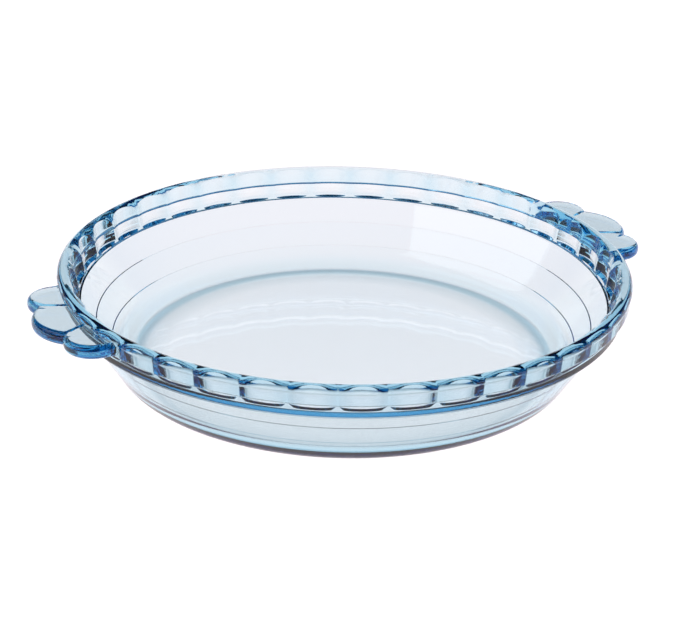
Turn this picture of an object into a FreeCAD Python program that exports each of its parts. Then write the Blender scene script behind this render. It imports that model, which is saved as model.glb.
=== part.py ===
import FreeCAD, Part
import math
import os

Vector = FreeCAD.Vector

# A pie dish pressed in one piece of clear glass, in millimetres.
# The base rests on z = 0, the axis of the bowl is Z and the two handles lie along X.

# Bowl
wall_lean = 32.5            # degrees from upright
wall_thickness = 4.4
floor_thickness = 4.8
floor_fillet = 14.0         # soft corner inside the bowl
base_corner = 10.0          # soft outer corner between underside and wall
bowl_height = 31.6          # from the table to the underside of the band
band_overhang = 3.4         # the band stands out this far from the wall below it

# Fine level lines run round the inside of the wall, each a small step
line_count = 2
line_gap = 1.5              # the lowest is this far above the soft corner
line_spacing = 10.0
line_step = 0.5

# Rim
rim_radius = 130.0
lip_radius = 2.5            # round of the outer side
lip_flat = 0.4
lip_side = 0.3              # short upright land below the round

# Outer face of the collar: a low band, and above it a panel that overhangs it
band_height = 7.0
band_setback = 3.4          # the top of the band lies this far inside the rim
band_draft = 2.0            # degrees, the band narrows towards the bottom
band_round = 1.0
panel_height = 8.8          # from the band to the top of the rim
panel_setback = 0.6         # the foot of the panel lies this far inside the rim
panel_round = 0.8
panel_step = 0.4            # the top of the panel lies this far behind the lip

# Inner face of the collar: flutes that run down to a narrow ledge on the wall
ledge_rise = 1.4            # the ledge is this far above the underside of the band
ledge_width = 0.6
ledge_round = 0.8
collar_lean = 10.5          # degrees from upright
flute_count = 38
flute_depth = 2.3
flute_start = 0.3           # the flutes begin this far above the ledge
flute_scoop = 2.3           # and slant outwards to their full depth over this height
ridge_trim = 0.35           # the crests between the flutes are cut back this much

# Handles, each a plate with three lobes, about as wide as the flutes
middle_lobe_reach = 18.3    # from the rim to the tip
middle_lobe_radius = 22.0
side_lobe_reach = 14.8
side_lobe_radius = 12.5
side_lobe_angle = 9.9       # degrees from the middle lobe
blend_radius = 6.5          # hollow corner between side lobe and collar
handle_drop = 2.3           # from the top of the rim to the top of the plate
handle_thickness = 6.1
handle_edge_flat = 0.9      # upright stretch between the rounds of the edge
handle_root = 1.6           # the hollow corners run out this deep in the collar
groove_depth = 0.7
groove_width = 1.8

# Sizes that follow from those above
lean = math.radians(wall_lean)
slant = math.radians(collar_lean)
flute_pitch = 360.0 / flute_count
panel_foot = bowl_height + band_height
rim_height = panel_foot + panel_height
lip_foot = rim_height - lip_radius - lip_side
band_top_radius = rim_radius - band_setback
band_foot_radius = band_top_radius - band_height * math.tan(math.radians(band_draft))
wall_foot_radius = band_foot_radius - band_overhang - bowl_height * math.tan(lean)
inner_foot_radius = wall_foot_radius - wall_thickness / math.cos(lean)
fillet_run = floor_fillet * math.tan((math.pi / 2 - lean) / 2)
lowest_line = floor_thickness + fillet_run * math.cos(lean) + line_gap
ledge_height = bowl_height + ledge_rise
lip_inside = rim_radius - lip_radius - lip_flat
handle_top = rim_height - handle_drop
handle_low = handle_top - handle_thickness
handle_round = (handle_thickness - handle_edge_flat) / 2
touching = 1e-6             # points closer than this are one point


def outer_wall_radius(z):
    """Radius of the bowl's outer wall at a height."""
    return wall_foot_radius + z * math.tan(lean)


def inner_wall_radius(z):
    """Radius of the bowl's inner wall at a height, before its small steps."""
    return inner_foot_radius + z * math.tan(lean)


def ridge_radius(z):
    """Radius of the collar's inner face at a height, measured on the ridges."""
    foot = inner_wall_radius(ledge_height) + line_count * line_step + ledge_width
    return foot + (z - ledge_height) * math.tan(slant)


def point(radius, z, angle=0.0):
    """A point from its distance to the axis, its height and its angle in degrees."""
    turn = math.radians(angle)
    return Vector(radius * math.cos(turn), radius * math.sin(turn), z)


def line(a, b):
    return Part.LineSegment(a, b).toShape()


def arc(a, b, c):
    return Part.Arc(a, b, c).toShape()


def rounded_path(corners):
    """Edges through corners given as (radius, height, rounding)."""
    places = [point(radius, z) for radius, z, rounding in corners]
    edges = []
    last = places[0]
    for index in range(1, len(corners) - 1):
        corner = places[index]
        rounding = corners[index][2]
        if rounding == 0:
            edges.append(line(last, corner))
            last = corner
            continue
        back = (places[index - 1] - corner).normalize()
        ahead = (places[index + 1] - corner).normalize()
        half = back.getAngle(ahead) / 2
        run = rounding / math.tan(half)
        to_centre = (back + ahead).normalize()
        start = corner + back * run
        middle = corner + to_centre * (rounding / math.sin(half) - rounding)
        end = corner + ahead * run
        if start.distanceToPoint(last) > touching:
            edges.append(line(last, start))
        edges.append(arc(start, middle, end))
        last = end
    edges.append(line(last, places[-1]))
    return edges


def turned(edges):
    """The solid that a closed half section sweeps round the axis."""
    face = Part.Face(Part.Wire(edges))
    return face.revolve(Vector(0, 0, 0), Vector(0, 0, 1), 360)


def outer_blank():
    """The dish filled solid, without handles."""
    corners = [
        (0, 0, 0),
        (wall_foot_radius, 0, base_corner),
        (outer_wall_radius(bowl_height), bowl_height, 0),
        (band_foot_radius, bowl_height, band_round),
        (band_top_radius, panel_foot, 0),
        (rim_radius - panel_setback, panel_foot, panel_round),
        (rim_radius - panel_step, lip_foot - panel_step, 0),
        (rim_radius, lip_foot, 0),
        (rim_radius, rim_height, lip_radius),
        (0, rim_height, 0),
    ]
    return turned(rounded_path(corners) + [line(Vector(0, 0, rim_height), Vector(0, 0, 0))])


def inner_hollow():
    """The room inside the dish, still without flutes."""
    flare_turn = (math.pi / 2 - slant) / 2
    flare_radius = (lip_inside - ridge_radius(rim_height)) / math.tan(flare_turn)
    above = rim_height + flare_radius
    corners = [
        (lip_inside, above, 0),
        (lip_inside, rim_height, 0),
        (ridge_radius(rim_height), rim_height, flare_radius),
        (ridge_radius(ledge_height), ledge_height, 0),
        (inner_wall_radius(ledge_height) + line_count * line_step, ledge_height, ledge_round),
    ]
    for count in range(line_count, 0, -1):
        height = lowest_line + (count - 1) * line_spacing
        corners.append((inner_wall_radius(height) + count * line_step, height, 0))
        corners.append((inner_wall_radius(height) + (count - 1) * line_step, height, 0))
    corners.append((inner_wall_radius(floor_thickness), floor_thickness, floor_fillet))
    corners.append((0, floor_thickness, 0))
    edges = [line(Vector(0, 0, above), point(lip_inside, above))]
    edges += rounded_path(corners)
    edges.append(line(Vector(0, 0, floor_thickness), Vector(0, 0, above)))
    return turned(edges)


def flute_outline(z, depth):
    """Plan of the fluted room at a height: arcs side by side that meet at the ridges."""
    crest = ridge_radius(z) - ridge_trim
    hollow = ridge_radius(z) + depth
    edges = []
    for number in range(flute_count):
        angle = number * flute_pitch
        edges.append(arc(point(crest, z, angle - flute_pitch / 2), point(hollow, z, angle),
                         point(crest, z, angle + flute_pitch / 2)))
    return Part.Wire(edges)


def fluted_room():
    """The flutes pressed into the inner face of the collar, as one star-shaped prism with a slanted foot."""
    start = ledge_height + flute_start
    outlines = [
        flute_outline(start, -ridge_trim),
        flute_outline(start + flute_scoop, flute_depth),
        flute_outline(rim_height + lip_flat, flute_depth),
    ]
    return Part.makeLoft(outlines, True, True)


def puck(centre, radius):
    """A round plate with rounded edges, as high as a handle is thick."""
    corners = [
        (0, handle_low, 0),
        (radius, handle_low, handle_round),
        (radius, handle_top, handle_round),
        (0, handle_top, 0),
    ]
    plate = turned(rounded_path(corners) + [line(Vector(0, 0, handle_top), Vector(0, 0, handle_low))])
    plate.translate(centre)
    return plate


def circles_meet(centre_a, radius_a, centre_b, radius_b):
    """The point where two circles in plan cross, on the left going from a to b."""
    between = centre_b - centre_a
    gap = between.Length
    along = (radius_a ** 2 - radius_b ** 2 + gap ** 2) / (2 * gap)
    aside = math.sqrt(radius_a ** 2 - along ** 2)
    ahead = between / gap
    left = Vector(-ahead.y, ahead.x, 0)
    return centre_a + ahead * along + left * aside


def hollow_corner(lobe_centre):
    """The web between a side lobe and the collar, its edge hollow in plan and rounded above and below."""
    root_radius = rim_radius - panel_setback - handle_root
    centre = circles_meet(Vector(0, 0, 0), root_radius + blend_radius, lobe_centre, side_lobe_radius + blend_radius)
    at_lobe = lobe_centre + (centre - lobe_centre).normalize() * side_lobe_radius
    at_collar = Vector(centre).normalize() * root_radius
    inside = Vector(lobe_centre).normalize() * root_radius
    web = Part.Face(Part.makePolygon([lobe_centre, at_lobe, at_collar, inside, lobe_centre]))
    web.translate(Vector(0, 0, handle_low))
    web = web.extrude(Vector(0, 0, handle_thickness))
    flared = blend_radius + handle_round
    turn = handle_round * (1 - math.cos(math.pi / 4))
    edges = [
        line(point(0, handle_low), point(flared, handle_low)),
        arc(point(flared, handle_low), point(blend_radius + turn, handle_low + turn),
            point(blend_radius, handle_low + handle_round)),
        line(point(blend_radius, handle_low + handle_round), point(blend_radius, handle_top - handle_round)),
        arc(point(blend_radius, handle_top - handle_round), point(blend_radius + turn, handle_top - turn),
            point(flared, handle_top)),
        line(point(flared, handle_top), point(0, handle_top)),
        line(point(0, handle_top), point(0, handle_low)),
    ]
    cutter = turned(edges)
    cutter.translate(centre)
    return web.cut(cutter)


def divider_groove(notch):
    """Fine groove between two lobes, from a ridge of the collar out to the notch."""
    start = point(rim_radius - panel_step, 0, flute_pitch / 2)
    above = groove_width / 2
    half = groove_width / 2 * (1 + above / groove_depth)
    corners = [
        Vector(0, 0, handle_top - groove_depth),
        Vector(0, half, handle_top + above),
        Vector(0, -half, handle_top + above),
    ]
    face = Part.Face(Part.makePolygon(corners + [corners[0]]))
    along = notch - start
    groove = face.extrude(Vector(along.Length + groove_width, 0, 0))
    groove.rotate(Vector(0, 0, 0), Vector(0, 0, 1), math.degrees(math.atan2(along.y, along.x)))
    groove.translate(start)
    return groove


def handle():
    """One lobed handle, on the +X side."""
    middle = point(rim_radius + middle_lobe_reach - middle_lobe_radius, 0)
    side = point(rim_radius + side_lobe_reach - side_lobe_radius, 0, side_lobe_angle)
    notch = circles_meet(side, side_lobe_radius, middle, middle_lobe_radius)
    half = puck(side, side_lobe_radius).fuse(hollow_corner(side))
    plate = puck(middle, middle_lobe_radius).fuse([half, half.mirror(Vector(0, 0, 0), Vector(0, 1, 0))])
    groove = divider_groove(notch)
    return plate.cut([groove, groove.mirror(Vector(0, 0, 0), Vector(0, 1, 0))])


def pie_dish():
    """The whole dish as one solid."""
    body = outer_blank()
    right = handle()
    left = right.copy()
    left.rotate(Vector(0, 0, 0), Vector(0, 0, 1), 180)
    body = body.fuse([right, left])
    body = body.cut(inner_hollow())
    return body.cut(fluted_room())


os.makedirs("parts", exist_ok=True)
dish = pie_dish()
if len(dish.Solids) == 1:
    dish = dish.Solids[0]
dish.exportStep("parts/pie_dish.step")
print("valid", dish.isValid(), "solids", len(dish.Solids), "faces", len(dish.Faces), "volume", round(dish.Volume))
print("box", dish.BoundBox)
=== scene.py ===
import math

import bmesh
import bpy
import numpy as np
from mathutils import Matrix, Vector


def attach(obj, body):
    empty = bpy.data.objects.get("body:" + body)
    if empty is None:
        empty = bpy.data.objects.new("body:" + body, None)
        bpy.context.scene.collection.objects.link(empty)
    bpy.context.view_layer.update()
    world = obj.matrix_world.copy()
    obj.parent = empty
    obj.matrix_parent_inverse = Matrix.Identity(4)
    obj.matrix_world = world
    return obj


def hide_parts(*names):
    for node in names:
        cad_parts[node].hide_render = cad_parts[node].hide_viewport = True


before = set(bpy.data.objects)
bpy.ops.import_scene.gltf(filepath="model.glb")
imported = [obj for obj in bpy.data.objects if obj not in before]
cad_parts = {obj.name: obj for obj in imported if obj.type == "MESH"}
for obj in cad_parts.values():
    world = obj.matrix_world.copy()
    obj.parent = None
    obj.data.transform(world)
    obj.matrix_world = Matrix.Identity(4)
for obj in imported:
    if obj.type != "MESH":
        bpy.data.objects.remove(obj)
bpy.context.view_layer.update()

MM = 0.001

# Sizes of the dish in millimetres, the same as the CAD part's
WALL_LEAN = math.radians(32.5)
WALL_THICKNESS = 4.4
FLOOR = 4.8
FLOOR_FILLET = 14.0
BASE_CORNER = 10.0
BOWL_HEIGHT = 31.6
BAND_OVERHANG = 3.4
LINE_COUNT = 2
LINE_GAP = 1.5
LINE_SPACING = 10.0
LINE_STEP = 0.5
RIM_RADIUS = 130.0
LIP_RADIUS = 2.5
LIP_FLAT = 0.4
LIP_SIDE = 0.3
BAND_HEIGHT = 7.0
BAND_SETBACK = 3.4
BAND_DRAFT = math.radians(2.0)
BAND_ROUND = 1.0
PANEL_HEIGHT = 8.8
PANEL_SETBACK = 0.6
PANEL_ROUND = 0.8
PANEL_STEP = 0.4
LEDGE_RISE = 1.4
LEDGE_WIDTH = 0.6
LEDGE_ROUND = 0.8
COLLAR_LEAN = math.radians(10.5)
FLUTES = 38
FLUTE_DEPTH = 2.3
FLUTE_START = 0.3
FLUTE_SCOOP = 2.3
RIDGE_TRIM = 0.35
MIDDLE_REACH = 18.3
MIDDLE_RADIUS = 22.0
SIDE_REACH = 14.8
SIDE_RADIUS = 12.5
SIDE_ANGLE = math.radians(9.9)
BLEND_RADIUS = 6.5
HANDLE_DROP = 2.3
HANDLE_THICKNESS = 6.1
HANDLE_FLAT = 0.9
HANDLE_ROOT = 1.6
GROOVE_DEPTH = 0.7
GROOVE_WIDTH = 1.8

# What follows from them
PITCH = 2 * math.pi / FLUTES
PANEL_FOOT = BOWL_HEIGHT + BAND_HEIGHT
RIM_HEIGHT = PANEL_FOOT + PANEL_HEIGHT
LIP_FOOT = RIM_HEIGHT - LIP_RADIUS - LIP_SIDE
BAND_TOP_RADIUS = RIM_RADIUS - BAND_SETBACK
BAND_FOOT_RADIUS = BAND_TOP_RADIUS - BAND_HEIGHT * math.tan(BAND_DRAFT)
WALL_FOOT = BAND_FOOT_RADIUS - BAND_OVERHANG - BOWL_HEIGHT * math.tan(WALL_LEAN)
INNER_FOOT = WALL_FOOT - WALL_THICKNESS / math.cos(WALL_LEAN)
FILLET_RUN = FLOOR_FILLET * math.tan((math.pi / 2 - WALL_LEAN) / 2)
LOWEST_LINE = FLOOR + FILLET_RUN * math.cos(WALL_LEAN) + LINE_GAP
LEDGE = BOWL_HEIGHT + LEDGE_RISE
LIP_INSIDE = RIM_RADIUS - LIP_RADIUS - LIP_FLAT
HANDLE_TOP = RIM_HEIGHT - HANDLE_DROP
HANDLE_LOW = HANDLE_TOP - HANDLE_THICKNESS
HANDLE_ROUND = (HANDLE_THICKNESS - HANDLE_FLAT) / 2

# The mesh: its narrowest column, where the columns' fan at a handle ends, the slope of a ridge's sides,
# the rows on the underside, the floor and near a fine line, and the steps of a handle's rounded edge
COLUMN_STEP = math.radians(0.06)
FAN_MARGIN = PITCH / 2
RIDGE_SLOPE = math.radians(30)
UNDERSIDE_RINGS = (30.0, 60.0, 90.0)
FLOOR_RINGS = (85.0, 60.0, 30.0)
LINE_ABOVE = 0.5
LINE_BELOW = 0.3
HANDLE_EDGE_ANGLES = np.radians([0, 12, 25, 38, 52, 68, 90])
HALVINGS = 40

# How close points are merged, in metres, how short an edge is dropped, and from which angle it is sharp
MERGE_DISTANCE = 2e-6
SLIVER_LENGTH = 1e-7
SHARP_ANGLE = math.radians(48)


def outer_wall(z):
    return WALL_FOOT + z * math.tan(WALL_LEAN)


def inner_wall(z):
    return INNER_FOOT + z * math.tan(WALL_LEAN)


def ridge_radius(z):
    """Radius of the collar's inner face at a height, measured on the ridges."""
    foot = inner_wall(LEDGE) + LINE_COUNT * LINE_STEP + LEDGE_WIDTH
    return foot + (z - LEDGE) * math.tan(COLLAR_LEAN)


FLARE_RADIUS = (LIP_INSIDE - ridge_radius(RIM_HEIGHT)) / math.tan((math.pi / 2 - COLLAR_LEAN) / 2)
FLARE_Z = RIM_HEIGHT - FLARE_RADIUS
SCOOP_TOP = LEDGE + FLUTE_START + FLUTE_SCOOP


def flute_radius(turn, z):
    """Radius of a flute's full hollow at angles and heights, before the ridges are cut back."""
    crest = ridge_radius(z) - RIDGE_TRIM
    hollow = ridge_radius(z) + FLUTE_DEPTH
    off = (turn + PITCH / 2) % PITCH - PITCH / 2
    centre = (hollow ** 2 - crest ** 2) / (2 * (hollow - crest * math.cos(PITCH / 2)))
    return centre * np.cos(off) + np.sqrt((hollow - centre) ** 2 - (centre * np.sin(off)) ** 2)


def round_points(a, b, c, rounding, parts):
    """The round between the lines a-b and b-c, as (radius, height) pairs."""
    a, b, c = (np.array(p, float) for p in (a, b, c))
    back = (a - b) / np.hypot(*(a - b))
    ahead = (c - b) / np.hypot(*(c - b))
    half = math.acos(np.dot(back, ahead)) / 2
    centre = b + (back + ahead) / np.hypot(*(back + ahead)) * rounding / math.sin(half)
    start = b + back * rounding / math.tan(half) - centre
    end = b + ahead * rounding / math.tan(half) - centre
    first = math.atan2(start[1], start[0])
    sweep = (math.atan2(end[1], end[0]) - first + math.pi) % (2 * math.pi) - math.pi
    angles = first + sweep * np.linspace(0, 1, parts + 1)
    return [(centre[0] + rounding * math.cos(angle), centre[1] + rounding * math.sin(angle))
            for angle in angles]


def lip_round(angles):
    """Points of the lip's outer round, from its upright side to its top."""
    centre = (RIM_RADIUS - LIP_RADIUS, RIM_HEIGHT - LIP_RADIUS)
    return [(centre[0] + LIP_RADIUS * math.cos(angle), centre[1] + LIP_RADIUS * math.sin(angle))
            for angle in angles]


PANEL_POINTS = round_points((BAND_TOP_RADIUS, PANEL_FOOT), (RIM_RADIUS - PANEL_SETBACK, PANEL_FOOT),
                            (RIM_RADIUS - PANEL_STEP, LIP_FOOT - PANEL_STEP), PANEL_ROUND, 12)
PANEL_POINTS += [(RIM_RADIUS - PANEL_STEP, LIP_FOOT - PANEL_STEP), (RIM_RADIUS, LIP_FOOT)]
PANEL_POINTS += lip_round(np.radians(np.arange(0, 16)))


def collar_face(z):
    """Radius of the collar's outer face at a height, from the foot of the panel to the lip's side."""
    return np.interp(z, [p[1] for p in PANEL_POINTS], [p[0] for p in PANEL_POINTS])


MIDDLE = np.array([RIM_RADIUS + MIDDLE_REACH - MIDDLE_RADIUS, 0.0])
SIDE = (RIM_RADIUS + SIDE_REACH - SIDE_RADIUS) * np.array([math.cos(SIDE_ANGLE), math.sin(SIDE_ANGLE)])


def circles_meet(a, ra, b, rb):
    """The point where two circles cross, on the left going from a to b."""
    between = b - a
    gap = math.hypot(*between)
    along = (ra ** 2 - rb ** 2 + gap ** 2) / (2 * gap)
    aside = math.sqrt(ra ** 2 - along ** 2)
    ahead = between / gap
    return a + ahead * along + np.array([-ahead[1], ahead[0]]) * aside


ROOT = RIM_RADIUS - PANEL_SETBACK - HANDLE_ROOT
BLEND = circles_meet(np.zeros(2), ROOT + BLEND_RADIUS, SIDE, SIDE_RADIUS + BLEND_RADIUS)
BLEND_ANGLE = math.atan2(BLEND[1], BLEND[0])
NOTCH = circles_meet(SIDE, SIDE_RADIUS, MIDDLE, MIDDLE_RADIUS)
NOTCH_ANGLE = math.atan2(NOTCH[1], NOTCH[0])
GROOVE_START = (RIM_RADIUS - PANEL_STEP) * np.array([math.cos(PITCH / 2), math.sin(PITCH / 2)])


def handle_angle(turn):
    """Angle from the middle of the nearer handle."""
    return (turn + math.pi / 2) % math.pi - math.pi / 2


def fanned(turn):
    """Angles of the columns at a handle's edge: they fan out so that one column follows each groove.

    The fan ends before the hollow corner meets the collar, so that the rows close on it there.
    """
    off = handle_angle(turn)
    wide = BLEND_ANGLE - FAN_MARGIN
    away = np.interp(np.abs(off), [0, PITCH / 2, wide, math.pi], [0, NOTCH_ANGLE, wide, math.pi])
    return turn - off + np.sign(off) * away


def ray_meets(turn, centre, radius, side):
    """Distance along rays from the axis to a circle: the far side for 1, the near side for -1."""
    along = centre[0] * np.cos(turn) + centre[1] * np.sin(turn)
    aside = -centre[0] * np.sin(turn) + centre[1] * np.cos(turn)
    room = radius ** 2 - aside ** 2
    return np.where(room >= 0, along + side * np.sqrt(np.maximum(room, 0)), 0)


def handle_reach(turn, inset):
    """Radius of a handle's outline, drawn in by an inset, at angles round the dish."""
    off = np.abs(handle_angle(turn))
    middle = ray_meets(off, MIDDLE, MIDDLE_RADIUS - inset, 1)
    side = ray_meets(off, SIDE, SIDE_RADIUS - inset, 1)
    out = (BLEND - SIDE) / math.hypot(*(BLEND - SIDE))
    tangent = SIDE + out * (SIDE_RADIUS - inset)
    hollow = ray_meets(off, BLEND, BLEND_RADIUS + inset, -1)
    side = np.where(off > math.atan2(tangent[1], tangent[0]), hollow, side)
    side = np.where(off > BLEND_ANGLE, 0, side)
    return np.maximum(middle, side)


def columns():
    """Angles of the mesh's columns: dense at the ridges, at the handles' outline and at their grooves."""
    land = RIDGE_TRIM / math.tan(RIDGE_SLOPE) / ridge_radius(SCOOP_TOP)
    steps = np.concatenate([[-PITCH / 2], np.linspace(-PITCH / 2 + land, PITCH / 2 - land, 11)])
    turns = [k * PITCH + steps for k in range(FLUTES)]
    fine = np.radians(np.arange(0, 19.6, 0.4))
    lobe_end = np.radians(np.arange(12.4, 18.6, 0.2))
    groove = PITCH / 2 + np.radians([-0.42, -0.2, 0.0, 0.2, 0.42])
    for middle in (0.0, math.pi):
        for side in (-1, 1):
            for extra in (fine, lobe_end, groove):
                turns.append(middle + side * extra)
    turns = np.sort(np.concatenate(turns) % (2 * math.pi))
    keep = [turns[0]]
    for turn in turns[1:]:
        if turn - keep[-1] > COLUMN_STEP:
            keep.append(turn)
    return np.array(keep)


def spots_at(radius, z, turn):
    """Points in space from radii, heights and angles, one to a column."""
    return np.stack([radius * np.cos(turn), radius * np.sin(turn), z + 0 * turn], axis=-1)


def outside_rows(turn):
    """Rows from the middle of the underside, up the wall and the collar, to the foot of the handles."""
    points = [(ring, 0) for ring in UNDERSIDE_RINGS]
    points += round_points((0, 0), (WALL_FOOT, 0), (outer_wall(BOWL_HEIGHT), BOWL_HEIGHT), BASE_CORNER, 12)
    points += [(outer_wall(z), z) for z in (6.0, 12.0, 22.0, 30.0, BOWL_HEIGHT)]
    points += round_points((outer_wall(BOWL_HEIGHT), BOWL_HEIGHT), (BAND_FOOT_RADIUS, BOWL_HEIGHT),
                           (BAND_TOP_RADIUS, PANEL_FOOT), BAND_ROUND, 6)
    points += [(BAND_TOP_RADIUS, PANEL_FOOT)]
    points += PANEL_POINTS[:5]
    return [spots_at(r, z, turn) for r, z in points]


def handle_rows(turn):
    """Rows over the underside, the edge and the upper face of the handles.

    Between the handles they follow the collar.
    """
    edge_turn = fanned(turn)

    def edge(z, inset):
        return spots_at(np.maximum(handle_reach(edge_turn, inset), collar_face(z)), z, edge_turn)

    def between(inner, outer, shares):
        return [inner + (outer - inner) * share for share in shares]

    rows = between(spots_at(collar_face(HANDLE_LOW), HANDLE_LOW, turn),
                   edge(HANDLE_LOW, HANDLE_ROUND), (0.0, 0.3, 0.6, 0.85))
    drops = HANDLE_ROUND * (1 - np.sin(HANDLE_EDGE_ANGLES))
    insets = HANDLE_ROUND * (1 - np.cos(HANDLE_EDGE_ANGLES))
    lower = [(HANDLE_LOW + drop, inset) for drop, inset in zip(drops, insets)][::-1]
    upper = [(HANDLE_TOP - drop, inset) for drop, inset in zip(drops, insets)]
    rows += [edge(z, inset) for z, inset in lower + upper]
    rows += between(spots_at(collar_face(HANDLE_TOP), HANDLE_TOP, turn),
                    edge(HANDLE_TOP, HANDLE_ROUND), (0.9, 0.75, 0.5, 0.25, 0.1, 0.0))
    return rows


def pressed_grooves(rows):
    """Lowers the handles' upper faces along the grooves between the lobes."""
    ahead = (NOTCH - GROOVE_START) / math.hypot(*(NOTCH - GROOVE_START))
    for row in rows:
        x = np.abs(row[:, 0])
        y = np.abs(row[:, 1])
        apart = np.abs((x - GROOVE_START[0]) * ahead[1] - (y - GROOVE_START[1]) * ahead[0])
        bottom = HANDLE_TOP - GROOVE_DEPTH + apart * GROOVE_DEPTH / (GROOVE_WIDTH / 2)
        plate = (np.hypot(x, y) > collar_face(HANDLE_TOP) + 0.01) & (row[:, 2] > HANDLE_TOP - HANDLE_ROUND)
        row[:, 2] = np.where(plate, np.minimum(row[:, 2], bottom), row[:, 2])
    return rows


def flare(angle):
    """Radius and height of the flare under the lip, at angles from its top."""
    return LIP_INSIDE - FLARE_RADIUS * np.sin(angle), FLARE_Z + FLARE_RADIUS * np.cos(angle)


def flare_ends(turn):
    """Angles on the flare where the flutes cut it off, found by halving."""
    low = np.zeros_like(turn)
    high = (math.pi / 2 - COLLAR_LEAN) * np.ones_like(turn)
    for _ in range(HALVINGS):
        middle = (low + high) / 2
        radius, z = flare(middle)
        inside = radius > flute_radius(turn, z)
        low = np.where(inside, middle, low)
        high = np.where(inside, high, middle)
    return high


def lip_rows(turn):
    """Rows over the lip and down the flutes to the ledge."""
    start = math.asin((HANDLE_TOP - RIM_HEIGHT + LIP_RADIUS) / LIP_RADIUS)
    rows = [spots_at(r, z, turn) for r, z in lip_round(np.linspace(start, math.pi / 2, 10)[1:])]
    ends = flare_ends(turn)
    rows += [spots_at(*flare(ends * share), turn) for share in np.linspace(0, 1, 9)]
    arch = flare(ends)[1]
    for share in (0.08, 0.3, 0.6, 0.9, 1.0):
        z = arch + (SCOOP_TOP - arch) * share
        rows.append(spots_at(np.maximum(flute_radius(turn, z), ridge_radius(z)), z, turn))
    top = np.maximum(flute_radius(turn, SCOOP_TOP), ridge_radius(SCOOP_TOP))
    depth = top - ridge_radius(SCOOP_TOP)
    foot = LEDGE + FLUTE_START + FLUTE_SCOOP * RIDGE_TRIM / (depth + RIDGE_TRIM)
    for share in (0.08, 0.5, 0.92, 1.0):
        z = SCOOP_TOP + (foot - SCOOP_TOP) * share
        rows.append(spots_at(top + (ridge_radius(foot) - top) * share, z, turn))
    for share in (0.15, 0.5, 0.9):
        z = foot + (LEDGE - foot) * share
        rows.append(spots_at(ridge_radius(z), z, turn))
    return rows


def inside_rows(turn):
    """Rows over the ledge, down the wall with its fine steps, the soft corner and the floor."""
    shift = LINE_COUNT * LINE_STEP
    highest_line = LOWEST_LINE + (LINE_COUNT - 1) * LINE_SPACING
    points = [(ridge_radius(LEDGE), LEDGE)]
    points += round_points((ridge_radius(LEDGE) + 1, LEDGE), (inner_wall(LEDGE) + shift, LEDGE),
                           (inner_wall(highest_line) + shift, highest_line), LEDGE_ROUND, 5)
    for count in range(LINE_COUNT, 0, -1):
        z = LOWEST_LINE + (count - 1) * LINE_SPACING
        for height, steps in ((z + LINE_ABOVE, count), (z, count),
                              (z, count - 1), (z - LINE_BELOW, count - 1)):
            points.append((inner_wall(height) + steps * LINE_STEP, height))
    points += round_points((inner_wall(LOWEST_LINE), LOWEST_LINE), (inner_wall(FLOOR), FLOOR),
                           (0, FLOOR), FLOOR_FILLET, 12)
    points += [(ring, FLOOR) for ring in FLOOR_RINGS]
    return [spots_at(r, z, turn) for r, z in points]


def build_dish():
    """The whole dish as one closed mesh, in metres."""
    turn = columns()
    count = len(turn)
    rows = outside_rows(turn) + pressed_grooves(handle_rows(turn)) + lip_rows(turn) + inside_rows(turn)
    spots = np.vstack(rows + [[[0, 0, 0], [0, 0, FLOOR]]]) * MM
    low_pole = len(spots) - 2
    high_pole = len(spots) - 1
    faces = []
    for k in range(count):
        n = (k + 1) % count
        faces.append((low_pole, n, k))
        for row in range(len(rows) - 1):
            a = row * count
            b = a + count
            faces.append((a + k, a + n, b + n, b + k))
        last = (len(rows) - 1) * count
        faces.append((high_pole, last + k, last + n))
    mesh = bpy.data.meshes.new("dish_glass")
    mesh.from_pydata(spots.tolist(), [], faces)
    bm = bmesh.new()
    bm.from_mesh(mesh)
    bmesh.ops.remove_doubles(bm, verts=bm.verts, dist=MERGE_DISTANCE)
    bmesh.ops.dissolve_degenerate(bm, edges=bm.edges, dist=SLIVER_LENGTH)
    bmesh.ops.recalc_face_normals(bm, faces=bm.faces)
    bm.to_mesh(mesh)
    bm.free()
    mesh.polygons.foreach_set("use_smooth", [True] * len(mesh.polygons))
    mesh.set_sharp_from_angle(angle=SHARP_ANGLE)
    dish = bpy.data.objects.new("dish_glass", mesh)
    bpy.context.scene.collection.objects.link(dish)
    weigh = dish.modifiers.new("even normals", "WEIGHTED_NORMAL")
    weigh.mode = "FACE_AREA"
    weigh.keep_sharp = True
    return dish


# The glass: what its surface lets through, its colour in the depth and how dense that is per metre,
# and the faint waves of pressing. The warm surface keeps thin glass neutral, and the depth turns blue.
SURFACE_TINT = (1.0, 0.922, 0.892)
GLASS_COLOUR = (0.0, 0.646, 0.865)
GLASS_DENSITY = 58.0
WAVES_SCALE = 26.0
WAVES_STRENGTH = 0.05


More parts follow.
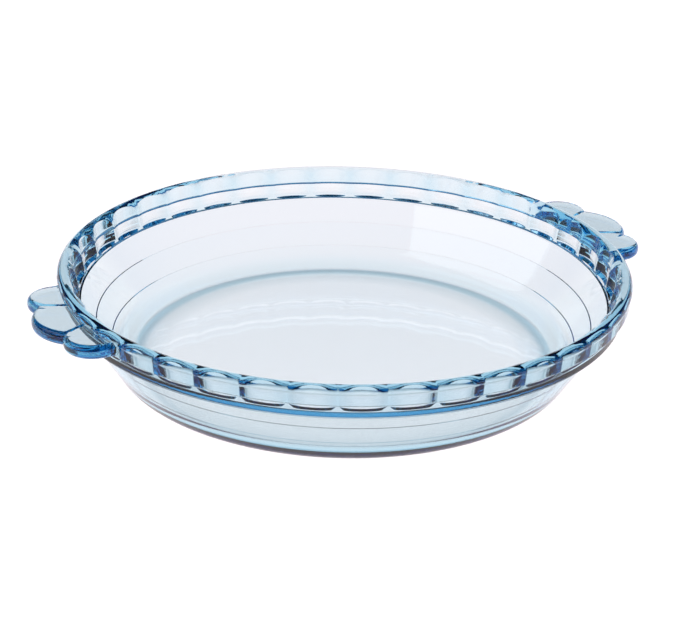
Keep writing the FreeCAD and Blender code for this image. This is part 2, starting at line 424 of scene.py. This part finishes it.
def glass_material():
    """Clear glass that turns blue where light runs through much of it, with the faint waves of pressing."""
    mat = bpy.data.materials.new("clear_glass")
    mat.use_nodes = True
    nodes = mat.node_tree.nodes
    links = mat.node_tree.links
    nodes.clear()
    out = nodes.new("ShaderNodeOutputMaterial")
    glass = nodes.new("ShaderNodeBsdfPrincipled")
    glass.inputs["Base Color"].default_value = SURFACE_TINT + (1.0,)
    glass.inputs["IOR"].default_value = 1.48
    glass.inputs["Transmission Weight"].default_value = 1.0
    glass.inputs["Roughness"].default_value = 0.0
    volume = nodes.new("ShaderNodeVolumeAbsorption")
    volume.inputs["Color"].default_value = GLASS_COLOUR + (1.0,)
    volume.inputs["Density"].default_value = GLASS_DENSITY
    place = nodes.new("ShaderNodeTexCoord")
    waves = nodes.new("ShaderNodeTexNoise")
    waves.inputs["Scale"].default_value = WAVES_SCALE
    waves.inputs["Detail"].default_value = 1.0
    bump = nodes.new("ShaderNodeBump")
    bump.inputs["Strength"].default_value = WAVES_STRENGTH
    bump.inputs["Distance"].default_value = MM
    links.new(place.outputs["Object"], waves.inputs["Vector"])
    links.new(waves.outputs["Fac"], bump.inputs["Height"])
    links.new(bump.outputs["Normal"], glass.inputs["Normal"])
    links.new(glass.outputs["BSDF"], out.inputs["Surface"])
    links.new(volume.outputs["Volume"], out.inputs["Volume"])
    return mat


# The camera stands as the one fitted to the photo: azimuth, elevation and roll in degrees, lengths in
# metres, the lens and its sensor in millimetres, and the shift as a share of the picture's width
CAMERA_AZIMUTH = -27.7
CAMERA_ELEVATION = 24.0
CAMERA_ROLL = 1.43
CAMERA_DISTANCE = 0.936
CAMERA_TARGET = Vector((0, 0, 0.0229))
CAMERA_LENS = 107.9
CAMERA_SENSOR = 36.0
CAMERA_SHIFT = (-3.9 / 680, -3.4 / 680)

# The table's size and how far it lies below the dish, in metres, and its paint
TABLE_SIZE = 8.0
TABLE_GAP = 0.0002
TABLE_PAINT = (0.25, 0.25, 0.25)

# Light of the table as (distance from the dish's axis in metres, colour), its strength, and how far
# the rings' colour ramp reaches in metres. Under the rounded corner of the base lies a soft contact
# shadow, and beyond the last ring the table is even.
TABLE_RINGS = (
    (0.0800, (1.0, 0.895, 0.90)),
    (0.0905, (0.80, 0.755, 0.77)),
    (0.0935, (0.48, 0.53, 0.57)),
    (0.0965, (0.48, 0.53, 0.57)),
    (0.0980, (0.83, 0.765, 0.765)),
)
TABLE_STRENGTH = 1.34
RINGS_REACH = 0.2

# The room: dim and blue, pale near the horizon. Behind the dish it is dark low down and high up, given
# as (height of the direction, colour). BACK_SIDE and BACK_EDGE say between which sideways and backward
# parts of the direction that fades into the room, and HORIZON_FADE between which heights.
ROOM_COLOUR = (0.03, 0.2, 0.44)
BACK_COLOURS = (
    (0.48, (0.03, 0.04, 0.05)),
    (0.54, ROOM_COLOUR),
    (0.72, ROOM_COLOUR),
    (0.76, (0.008, 0.009, 0.011)),
)
BACK_SIDE = (0.45, 0.65)
BACK_EDGE = (0.0, 0.2)
HORIZON_COLOUR = (1.0, 1.0, 1.0)
HORIZON_FADE = (0.12, 0.25)
SOFTBOX_POWER = 11.0


def colour_ramp(nodes, stops):
    """A colour ramp with the given (position, colour) stops."""
    ramp = nodes.new("ShaderNodeValToRGB")
    marks = ramp.color_ramp.elements
    while len(marks) < len(stops):
        marks.new(0.5)
    for mark, (position, colour) in zip(marks, stops):
        mark.position = position
        mark.color = colour + (1.0,)
    return ramp


def towards(azimuth, elevation):
    """The direction seen from the dish at an azimuth and an elevation in degrees."""
    turn = math.radians(azimuth)
    rise = math.radians(elevation)
    return Vector((math.sin(turn) * math.cos(rise), -math.cos(turn) * math.cos(rise), math.sin(rise)))


def softbox(name, azimuth, elevation, distance, width, height, power):
    """A rectangular lamp that looks at the dish, its place given in degrees and metres."""
    lamp = bpy.data.lights.new(name, "AREA")
    lamp.shape = "RECTANGLE"
    lamp.size = width
    lamp.size_y = height
    lamp.energy = power
    holder = bpy.data.objects.new(name, lamp)
    bpy.context.scene.collection.objects.link(holder)
    spot = towards(azimuth, elevation) * distance
    holder.location = spot
    holder.rotation_euler = (-spot).to_track_quat("-Z", "Y").to_euler()


def floor_and_light():
    """A plain pale floor that gives light like a light table, and a wide softbox from the left."""
    bpy.ops.mesh.primitive_plane_add(size=TABLE_SIZE, location=(0, 0, -TABLE_GAP))
    floor = bpy.context.active_object
    floor.name = "floor"
    paint = bpy.data.materials.new("pale_floor")
    paint.use_nodes = True
    nodes = paint.node_tree.nodes
    links = paint.node_tree.links
    shader = nodes["Principled BSDF"]
    shader.inputs["Base Color"].default_value = TABLE_PAINT + (1.0,)
    shader.inputs["Roughness"].default_value = 0.9
    shader.inputs["Specular IOR Level"].default_value = 0.0
    shader.inputs["Emission Strength"].default_value = TABLE_STRENGTH
    place = nodes.new("ShaderNodeTexCoord")
    away = nodes.new("ShaderNodeVectorMath")
    away.operation = "LENGTH"
    share = nodes.new("ShaderNodeMath")
    share.operation = "DIVIDE"
    share.inputs[1].default_value = RINGS_REACH
    rings = colour_ramp(nodes, [(radius / RINGS_REACH, colour) for radius, colour in TABLE_RINGS])
    links.new(place.outputs["Object"], away.inputs[0])
    links.new(away.outputs["Value"], share.inputs[0])
    links.new(share.outputs[0], rings.inputs["Fac"])
    links.new(rings.outputs["Color"], shader.inputs["Emission Color"])
    floor.data.materials.append(paint)

    softbox("left", azimuth=CAMERA_AZIMUTH - 78, elevation=42, distance=2.2, width=2.4, height=1.3,
            power=SOFTBOX_POWER)


def studio_room():
    """The room round the table: dim and blue, darker behind the dish, and pale near the horizon."""
    world = bpy.data.worlds.new("studio")
    bpy.context.scene.world = world
    world.use_nodes = True
    nodes = world.node_tree.nodes
    links = world.node_tree.links
    place = nodes.new("ShaderNodeTexCoord")
    parts = nodes.new("ShaderNodeSeparateXYZ")
    links.new(place.outputs["Generated"], parts.inputs[0])
    turn = math.radians(CAMERA_AZIMUTH)

    def along(direction):
        """How far the looked-at direction goes along a given one."""
        dot = nodes.new("ShaderNodeVectorMath")
        dot.operation = "DOT_PRODUCT"
        dot.inputs[1].default_value = direction
        links.new(place.outputs["Generated"], dot.inputs[0])
        return dot.outputs["Value"]

    def mixed(source, fade, first, second):
        """A colour that goes from the first to the second while the source goes through the fade."""
        share = nodes.new("ShaderNodeMapRange")
        share.inputs["From Min"].default_value, share.inputs["From Max"].default_value = fade
        links.new(source, share.inputs["Value"])
        mix = nodes.new("ShaderNodeMix")
        mix.data_type = "RGBA"
        for socket, colour in ((mix.inputs[6], first), (mix.inputs[7], second)):
            if isinstance(colour, tuple):
                socket.default_value = colour + (1.0,)
            else:
                links.new(colour, socket)
        links.new(share.outputs["Result"], mix.inputs[0])
        return mix.outputs[2]

    aside = nodes.new("ShaderNodeMath")
    aside.operation = "ABSOLUTE"
    links.new(along((math.cos(turn), math.sin(turn), 0)), aside.inputs[0])
    back = colour_ramp(nodes, BACK_COLOURS)
    links.new(parts.outputs["Z"], back.inputs["Fac"])
    middle = mixed(aside.outputs[0], BACK_SIDE, back.outputs["Color"], ROOM_COLOUR)
    room = mixed(along((-math.sin(turn), math.cos(turn), 0)), BACK_EDGE, ROOM_COLOUR, middle)
    whole = mixed(parts.outputs["Z"], HORIZON_FADE, HORIZON_COLOUR, room)
    links.new(whole, nodes["Background"].inputs["Color"])


def add_camera():
    """The camera of the photo, looking down at the dish from the front left."""
    turn = math.radians(CAMERA_AZIMUTH)
    roll = math.radians(CAMERA_ROLL)
    back = towards(CAMERA_AZIMUTH, CAMERA_ELEVATION)
    right = Vector((math.cos(turn), math.sin(turn), 0))
    up = back.cross(right)
    across = right * math.cos(roll) + up * math.sin(roll)
    upward = up * math.cos(roll) - right * math.sin(roll)
    place = CAMERA_TARGET + back * CAMERA_DISTANCE
    data = bpy.data.cameras.new("camera")
    data.lens = CAMERA_LENS
    data.sensor_width = CAMERA_SENSOR
    data.shift_x, data.shift_y = CAMERA_SHIFT
    camera = bpy.data.objects.new("camera", data)
    bpy.context.scene.collection.objects.link(camera)
    camera.matrix_world = Matrix((
        (across.x, upward.x, back.x, place.x),
        (across.y, upward.y, back.y, place.y),
        (across.z, upward.z, back.z, place.z),
        (0, 0, 0, 1)))
    bpy.context.scene.camera = camera


dish = build_dish()
dish.data.materials.append(glass_material())
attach(dish, "root")
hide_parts("pie_dish")
floor_and_light()
studio_room()
add_camera()

scene = bpy.context.scene
scene.view_settings.view_transform = "Standard"
scene.cycles.max_bounces = 24
scene.cycles.glossy_bounces = 16
scene.cycles.transmission_bounces = 24
scene.cycles.transparent_max_bounces = 8
